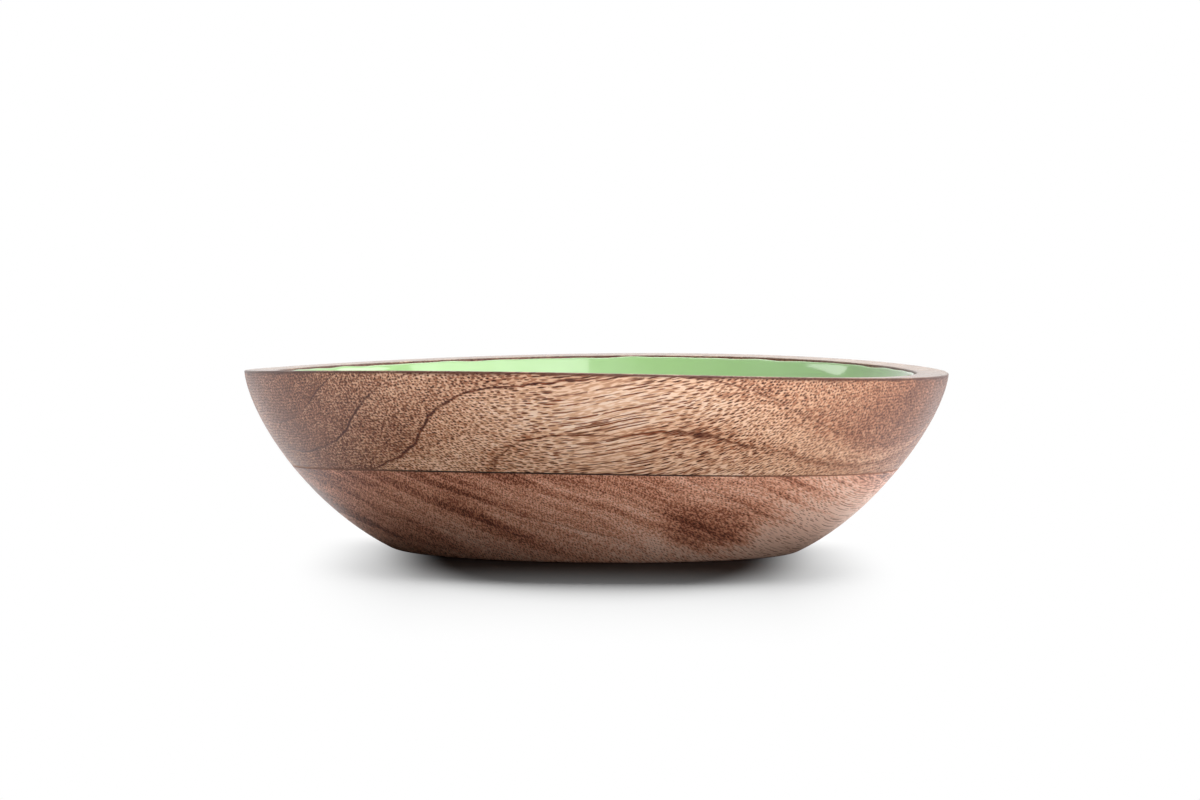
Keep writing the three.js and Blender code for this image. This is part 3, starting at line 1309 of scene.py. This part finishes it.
@dataclass
class EnamelLining:
    """The enamel coat over the floor and the inner wall, with a hand-drawn edge below the rim.

    The edge wanders up and down. The wander starts wander_start feathers below the rim, and it eases in over
    wander_ease feathers.
    """

    form: BowlForm
    finish: EnamelFinish
    under_rows: int = 50
    edge_rows: int = 9
    over_rows: int = 60
    floor_rows: int = 8
    edge_waves: tuple[int, ...] = (5, 9, 17, 29, 41)
    edge_phase: float = 0.9
    edge_wander: float = 0.00018
    wander_start: float = 4.0
    wander_ease: float = 3.0

    def outline(self) -> np.ndarray:
        """Draw the coat's outline: out along the wood, over the feathered edge and back to the axis.

        The edge is a quarter of an oval: it rises off the wood as the sine of an angle, and it comes down
        the wall as 1 minus the cosine.

        Returns:
            One row of distance and height for each point.
        """
        form = self.form
        inner = form.inner_wall()
        edge = inner.share_at(form.rim_height - form.enamel_edge_drop)
        feather = inner.share_at(form.rim_height - form.enamel_edge_drop - form.enamel_feather)
        face = form.bond_clearance + form.enamel_thickness
        under = inner.at(np.linspace(0.0, edge, self.under_rows), form.bond_clearance)
        swell = np.linspace(0.0, 0.5 * math.pi, self.edge_rows)[1:]
        edge_shares = edge + (feather - edge) * (1.0 - np.cos(swell))
        edge_face = inner.at(edge_shares, form.bond_clearance + form.enamel_thickness * np.sin(swell))
        over = inner.at(np.linspace(feather, 0.0, self.over_rows), face)[1:]
        low = np.array((0.0, form.floor_thickness + form.bond_clearance))
        high = np.array((0.0, form.floor_thickness + face))
        floor_under = straight(low, under[0], self.floor_rows)
        floor_over = straight(over[-1], high, self.floor_rows)
        return np.concatenate((low[None], floor_under, under, edge_face, over, floor_over, high[None]))

    def build(self) -> bpy.types.Object:
        """Build and dress the coat.

        Returns:
            The new piece.
        """
        form, outline = self.form, self.outline()
        turning = Turning("green_lining", outline, Ends.ON_AXIS)
        grid = turning.grid()
        feathers = (outline[:, 1] - form.rim_height) / form.enamel_feather
        near_edge = np.clip((feathers + self.wander_start) / self.wander_ease, 0, 1)
        wander = self.edge_wander * waves(turning.angles(), self.edge_waves, self.edge_phase)
        grid[..., 2] += near_edge[:, None] * wander[None, :]
        piece = turning.build(form.warped(grid))
        return enrol(piece, "enamel_lining", self.finish.material())


class Lit(Enum):
    """What a lamp shines on: all but the table, or the table alone."""

    BOWL = "EXCLUDE"
    TABLE = "INCLUDE"


@dataclass(frozen=True)
class Softbox:
    """A rectangular lamp beside the bowl, upright or tilted to face it."""

    name: str
    azimuth: float
    elevation: float
    distance: float
    size: Span
    brightness: float
    lit: Lit = Lit.BOWL
    tilted: bool = False

    def build(self, aim: Vector, table: bpy.types.Object) -> None:
        """Hang the lamp.

        Its place is given by an angle to the right of the camera's side and an angle above the table, and
        its power is its brightness times pi times its area.

        Args:
            aim: Point from which its place is measured.
            table: Table top, which a lamp leaves unlit or which alone it lights.
        """
        turn, rise = math.radians(self.azimuth), math.radians(self.elevation)
        level = math.cos(rise)
        away = Vector((math.sin(turn) * level, -math.cos(turn) * level, math.sin(rise)))
        light = bpy.data.lights.new(self.name, "AREA")
        light.shape = "RECTANGLE"
        light.size, light.size_y = self.size
        light.energy = self.brightness * math.pi * self.size[0] * self.size[1]
        lamp = bpy.data.objects.new(self.name, light)
        lamp.location = aim + away * self.distance
        lamp.rotation_euler = (0.5 * math.pi - (rise if self.tilted else 0.0), 0.0, turn)
        bpy.context.scene.collection.objects.link(lamp)
        receivers = bpy.data.collections.new(self.name + "_receivers")
        receivers.objects.link(table)
        receivers.collection_objects[0].light_linking.link_state = self.lit.value
        lamp.light_linking.receiver_collection = receivers


@dataclass
class Studio:
    """White table, white surroundings, soft lamps and the camera at the photograph's viewing angle."""

    image_width: int = 1200
    focal_pixels: float = 4640.0
    sensor_width: float = 36.0
    camera_distance: float = 1.65
    camera_height: float = 0.1126
    camera_aside: float = 0.00137
    camera_pitch: float = 2.064
    camera_roll: float = 0.55
    camera_clip: Span = (0.05, 50.0)
    table_half: float = 4.0
    surround_light: float = 0.06
    lamp_aim: Point = (0.0, 0.0, 0.03)
    lamps: tuple[Softbox, ...] = (
        Softbox("front_right_softbox", 41.0, 31.0, 1.6, (2.15, 1.35), 2.48),
        Softbox("right_softbox", 103.0, 18.0, 1.4, (0.7, 0.3), 3.3),
        Softbox("left_softbox", -103.0, 18.0, 1.4, (0.5, 0.3), 2.6),
        Softbox("front_reflector", 22.0, 5.0, 1.5, (1.6, 0.3), 3.9),
        Softbox("top_softbox", 170.0, 65.0, 1.5, (1.2, 1.2), 2.6, tilted=True),
        Softbox("table_softbox", 180.0, 29.5, 1.7, (1.6, 2.3), 99.0, Lit.TABLE, True),
    )
    table_finish: FloorFinish = field(default_factory=FloorFinish)

    def build(self) -> None:
        """Build the whole studio."""
        table = self._table()
        self._surroundings()
        for softbox in self.lamps:
            softbox.build(Vector(self.lamp_aim), table)
        self._camera()
        bpy.context.scene.view_settings.view_transform = "Standard"

    def _table(self) -> bpy.types.Object:
        """Lay the table top at the height of the standing face.

        Returns:
            The table top.
        """
        half = self.table_half
        corners = [(-half, -half, 0.0), (half, -half, 0.0), (half, half, 0.0), (-half, half, 0.0)]
        mesh = bpy.data.meshes.new("table_top")
        mesh.from_pydata(corners, [], [(0, 1, 2, 3)])
        table = bpy.data.objects.new("table_top", mesh)
        bpy.context.scene.collection.objects.link(table)
        mesh.materials.append(self.table_finish.material())
        return table

    def _surroundings(self) -> None:
        """Surround the scene with white that lights softly and shows as plain white."""
        world = bpy.data.worlds.new("white_surroundings")
        world.use_nodes = True
        graph = Graph(world.node_tree)
        strength = graph.span(graph.seen_directly(), 0.0, 1.0, self.surround_light, 1.0)
        background = graph.node("ShaderNodeBackground", {"Color": grey(1.0), "Strength": strength})
        graph.show(background, "ShaderNodeOutputWorld")
        bpy.context.scene.world = world

    def _camera(self) -> None:
        """Set up the camera: above the rim, pitched down a little, with the photograph's slight roll."""
        data = bpy.data.cameras.new("camera")
        data.sensor_width = self.sensor_width
        data.lens = self.sensor_width * self.focal_pixels / self.image_width
        data.clip_start, data.clip_end = self.camera_clip
        camera = bpy.data.objects.new("camera", data)
        camera.location = (self.camera_aside, -self.camera_distance, self.camera_height)
        pitch = Matrix.Rotation(math.radians(90.0 - self.camera_pitch), 3, "X")
        roll = Matrix.Rotation(math.radians(self.camera_roll), 3, "Z")
        camera.rotation_euler = (pitch @ roll).to_euler()
        bpy.context.scene.collection.objects.link(camera)
        bpy.context.scene.camera = camera


RIM_WOOD = WoodFinish(
    name="upper_board_wood",
    rings=GrowthRings(
        pith=(-0.028, 0.1046),
        slant=(-0.0344, -0.016),
        skew=0.053,
        bow=3.172,
        edges=(
            0.060, 0.0655, 0.070, 0.0752, 0.080, 0.0845, 0.089, 0.0925, 0.0962, 0.1012, 0.1047, 0.1071,
            0.1102, 0.1138, 0.1165, 0.121, 0.1262, 0.1315, 0.136, 0.1418, 0.147, 0.152, 0.158, 0.163,
            0.169, 0.176,
        ),
        strengths=(
            0.3, 0.5, 0.3, 0.6, 0.3, 0.4, 0.15, 0.1, 1.0, 1.0, 1.0, 1.0, 0.15,
            0.4, 0.7, 0.3, 0.6, 0.8, 0.3, 0.5, 0.7, 0.4, 0.8, 0.3, 0.6, 0.4,
        ),
        wander=0.0007,
        jag=0.0004,
        swellings=(
            Patch((-0.06, -0.105, 0.056), (0.05, 0.06, 0.022), 0.00075),
            Patch((-0.012, -0.108, 0.038), (0.035, 0.05, 0.014), 0.0014),
        ),
    ),
    pores=Pores(
        fibre=(1.0, 0.0, 0.14),
        upright=(0.0, 0.0, 1.0),
        spacing=(0.00072, 0.001),
        length=0.0037,
        reach=(0.34, 0.46),
        strength=(0.75, 1.0),
    ),
    tones=((114, 64, 40), (174, 115, 84), (211, 163, 130), (234, 192, 161), (246, 216, 193)),
    pore_colours=((54, 16, 3), (132, 66, 34)),
    line_colours=((78, 32, 15), (150, 84, 54)),
    line_width=0.034,
    clear_from=(-0.119, -0.105),
    clear_to=(0.02, 0.07),
    unclear=0.3,
    late_shade=0.06,
    ring_variety=0.06,
    zones=(
        (0.085, 0.58), (0.097, 0.58), (0.1019, 0.57), (0.104, 0.54), (0.1047, 0.56), (0.106, 0.76),
        (0.1066, 0.73), (0.1071, 0.5), (0.1076, 0.64), (0.11, 0.62), (0.125, 0.62),
    ),
    stains_and_painted_shading=(
        # The right end of the upper board is made darker
        Patch((0.118, -0.05, 0.055), (0.09, 0.13, 0.08), -0.4),
        Patch((0.128, -0.03, 0.055), (0.045, 0.07, 0.08), -0.3),
        # Painted shade: the left end of the upper board is made much darker, as if it lay out of the light
        Patch((-0.118, -0.045, 0.05), (0.09, 0.12, 0.08), -0.58),
        Patch((-0.042, -0.105, 0.042), (0.035, 0.06, 0.02), -0.14),
        Patch((0.052, -0.105, 0.05), (0.05, 0.06, 0.03), -0.14),
        # Painted shade: the back half of the upper board is made darker, to offset the stronger light there
        Patch((0.0, 0.13, 0.05), (0.24, 0.17, 0.24), -0.3),
    ),
    tone_and_shading_drift=(0.5, 0.0, 0.0),
    patch_scale=(16.0, 40.0, 40.0),
    patch_strength=0.5,
    streak_scale=(40.0, 420.0, 420.0),
    streak_strength=0.5,
    grain=(0.0036, 0.00057, 0.00061),
    grain_strength=0.215,
    calm_grain=0.55,
)

BASE_WOOD = WoodFinish(
    name="lower_board_wood",
    rings=GrowthRings(
        pith=(0.0, 0.6),
        slant=(0.0, 0.0),
        skew=-0.3,
        bow=0.0,
        edges=(
            0.530, 0.537, 0.543, 0.5505, 0.557, 0.563, 0.5705, 0.576, 0.583, 0.5885, 0.596, 0.602,
            0.609, 0.615, 0.622, 0.629, 0.635, 0.642, 0.65,
        ),
        strengths=(
            0.1, 0.2, 0.1, 0.3, 0.1, 0.1, 0.3, 0.1, 0.2, 0.1, 0.3, 0.1,
            0.2, 0.1, 0.3, 0.1, 0.2, 0.1, 0.1,
        ),
        wander=0.008,
        jag=0.0012,
    ),
    pores=Pores(
        fibre=(0.35, 0.93, -0.12),
        upright=(0.36, 0.0, 0.93),
        spacing=(0.0008, 0.0008),
        length=0.0035,
        reach=(0.32, 0.46),
        strength=(0.4, 0.8),
    ),
    tones=((104, 56, 40), (170, 106, 80), (214, 150, 121), (236, 180, 152), (248, 206, 184)),
    pore_colours=((52, 18, 6), (146, 90, 64)),
    line_colours=((72, 34, 20), (130, 78, 56)),
    line_width=0.06,
    clear_from=(-0.13, -0.12),
    clear_to=(0.05, 0.1),
    unclear=0.7,
    late_shade=0.1,
    ring_variety=0.14,
    stains_and_painted_shading=(
        Patch((0.039, -0.083, 0.0125), (0.026, 0.06, 0.0115), -0.5, 0.15, 0.25),
        Patch((0.0213, -0.08, 0.006), (0.006, 0.03, 0.009), 0.25),
        Patch((-0.0465, -0.083, 0.0193), (0.034, 0.05, 0.0048), -0.15, 0.34),
        Patch((-0.037, -0.077, 0.012), (0.032, 0.05, 0.0035), -0.15, 0.36),
        Patch((-0.026, -0.085, 0.0107), (0.024, 0.05, 0.0048), -0.17, 0.4),
        Patch((-0.03, -0.096, 0.0252), (0.026, 0.05, 0.005), 0.08, 0.47),
        Patch((-0.027, -0.102, 0.0305), (0.014, 0.03, 0.0036), -0.24, 0.2),
        Patch((-0.075, -0.068, 0.024), (0.045, 0.06, 0.014), 0.12, 0.1),
        # Painted light: the lower right of the wall and its heel are made paler, as if lit from the low
        # right
        Patch((0.08, -0.052, 0.011), (0.032, 0.08, 0.02), 0.65),
        Patch((0.06, -0.056, 0.004), (0.022, 0.05, 0.01), 0.35),
        Patch((0.1, -0.04, 0.029), (0.032, 0.05, 0.016), -0.3),
    ),
    # Paler to the right, partly the wood's own tone and partly painted light; darker towards the back and
    # paler towards the foot, painted shade and light
    tone_and_shading_drift=(2.3, -1.4, -10.5),
    patch_scale=(14.0, 26.0, 60.0),
    patch_strength=0.6,
    streak_scale=(10.0, 16.0, 330.0),
    streak_strength=1.15,
    base_tone=0.645,
    grain=(0.0035, 0.0006, 0.0006),
    grain_strength=0.185,
)


def main() -> None:
    """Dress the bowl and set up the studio."""
    logging.basicConfig(level=logging.INFO, format="%(name)s: %(message)s")
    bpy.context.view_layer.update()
    form = BowlForm()
    for part in (
        BaseBoard(form, BASE_WOOD),
        GlueFilm(form, GlueFinish()),
        RimBoard(form, RIM_WOOD),
        EnamelLining(form, EnamelFinish()),
    ):
        piece = part.build()
        LOG.info("%s: %d faces, finish %s", piece.name, len(piece.data.polygons), part.finish.name)
    Studio().build()


if __name__ == "__main__":
    main()
